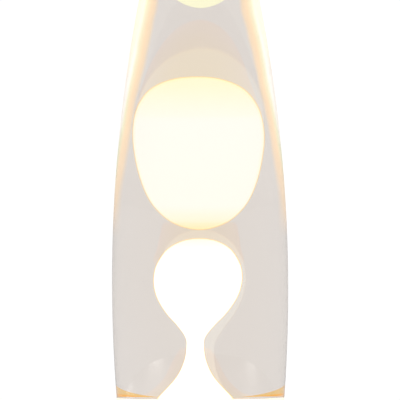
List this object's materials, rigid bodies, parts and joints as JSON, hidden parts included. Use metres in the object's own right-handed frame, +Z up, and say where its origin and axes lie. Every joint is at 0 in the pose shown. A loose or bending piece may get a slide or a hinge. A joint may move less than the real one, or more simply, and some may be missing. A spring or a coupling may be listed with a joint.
{
  "type": "lava lamp",
  "caption": "Lava lamp: hourglass aluminium base with a lamp inside, a lift-out tapered glass bottle of clear liquid and pale wax, and a lift-off conical cap.",
  "frame": {"origin": "on the table under the lamp's axis, at the middle of the foot", "axes": "+Z up along the lamp's axis, +Y to the back where the cord leaves, +X to the right"},
  "size_m": [0.11, 0.11, 0.4296],
  "materials": {
    "spun_aluminium": "spun, satin",
    "zinc_steel": "zinc plated",
    "tinplate": "bright tinplate",
    "brass": "pressed",
    "rubber": "matte",
    "phenolic": "moulded",
    "ceramic_white": "unglazed steatite",
    "black_glass": "glossy",
    "cap_liner": "matte",
    "clear_glass": "clear, glossy",
    "bulb_glass": "clear, part silvered",
    "filament_wire": "drawn wire",
    "wax": "molten wax, lit from below",
    "liquid": "clear liquid"
  },
  "bodies": {
    "base": {"foot_pad_1": "rubber", "foot_pad_2": "rubber", "foot_pad_3": "rubber", "foot_pad_4": "rubber", "bottom_plate": "zinc_steel", "foot_shell": "spun_aluminium", "cord_grommet": "rubber", "tube_nut_lower": "zinc_steel", "threaded_tube": "zinc_steel", "holder_bracket": "zinc_steel", "tube_nut_upper": "zinc_steel", "cup_shell": "spun_aluminium", "seat_ring": "zinc_steel", "lampholder_base": "phenolic", "lampholder_shell": "phenolic", "contact_insert": "ceramic_white", "screw_contact": "brass", "centre_contact": "brass"},
    "bulb_tip": {"bulb_tip": "brass"},
    "bulb": {"bulb_screw_cap": "brass", "bulb_insulator": "black_glass", "bulb_envelope": "bulb_glass", "bulb_stem": "bulb_glass", "filament": "filament_wire"},
    "bottle": {"glass_bottle": "clear_glass", "crown_cap": "tinplate", "crown_liner": "cap_liner", "heat_coil": "zinc_steel", "wax_pool": "wax", "wax_drop": "wax", "wax_crest": "wax", "liquid_lower": "liquid", "liquid_upper": "liquid"},
    "cap": {"cap_shell": "spun_aluminium"}
  },
  "joints": [
    {"name": "bottle_lift", "type": "slide", "parent": "base", "child": "bottle", "axis": [0, 0, 1], "range_m": [0, 0.06]},
    {"name": "cap_lift", "type": "slide", "parent": "bottle", "child": "cap", "axis": [0, 0, 1], "range_m": [0, 0.07]},
    {"name": "bulb_rise", "type": "slide", "parent": "base", "child": "bulb_tip", "axis": [0, 0, 1], "range_m": [0, 0.01129]},
    {"name": "bulb_turn", "type": "hinge", "parent": "bulb_tip", "child": "bulb", "pos_m": [0, 0, 0.0295], "axis": [0, 0, 1], "range_deg": [0, 1440]}
  ],
  "couplings": [
    {"joint": "bulb_rise", "follows": "bulb_turn", "m_per_rad": 0.00044882}
  ]
}
